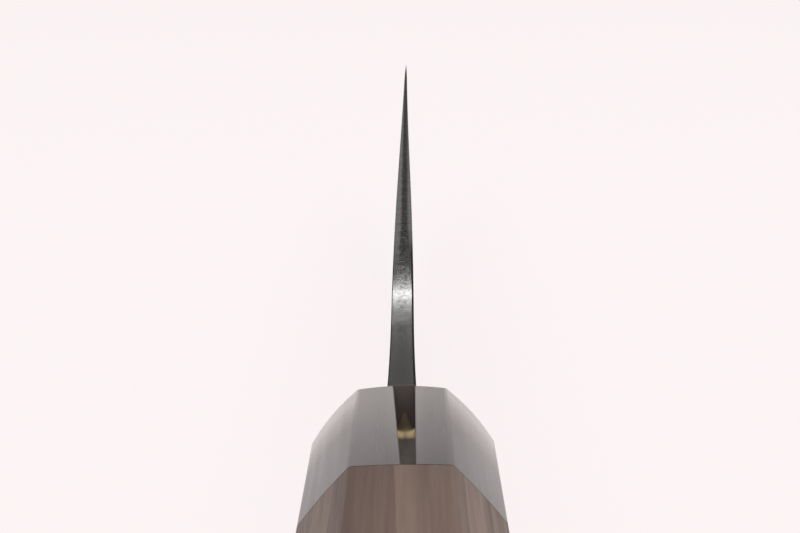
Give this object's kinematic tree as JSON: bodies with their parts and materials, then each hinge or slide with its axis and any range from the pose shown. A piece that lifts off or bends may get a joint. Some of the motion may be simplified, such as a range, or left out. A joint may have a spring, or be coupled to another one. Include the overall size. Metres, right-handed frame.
{
  "type": "gyuto knife",
  "caption": "Cook's knife: a tapering laminated steel blade with a tang let into a slotted horn ferrule and an octagonal wooden handle, for cutting and chopping food.",
  "frame": {"origin": "bottom centre of the knife's box: the lowest line of the cutting edge is at z = 0, midway along the whole length, on the blade's middle plane", "axes": "+Y from the handle to the tip, +Z from the edge up to the spine, +X to the right seen from behind the handle"},
  "size_m": [0.0248, 0.395, 0.0504],
  "materials": {
    "core_steel": "hard core steel, ground bright at the edge and drawn with fine cross lines on the spine",
    "cladding": "soft cladding steel, satin ground from spine to edge",
    "horn": "polished dark grey buffalo horn with faint lengthwise streaks",
    "walnut": "oiled brown walnut, grain along the handle, satin",
    "dowel_wood": "plain pale hardwood, unfinished",
    "resin": "amber bedding resin, glossy"
  },
  "bodies": {
    "root": {"core_steel": "core_steel", "cladding_left": "cladding", "cladding_right": "cladding", "ferrule": "horn", "handle_grip": "walnut", "dowel": "dowel_wood", "slot_resin": "resin"}
  },
  "joints": []
}
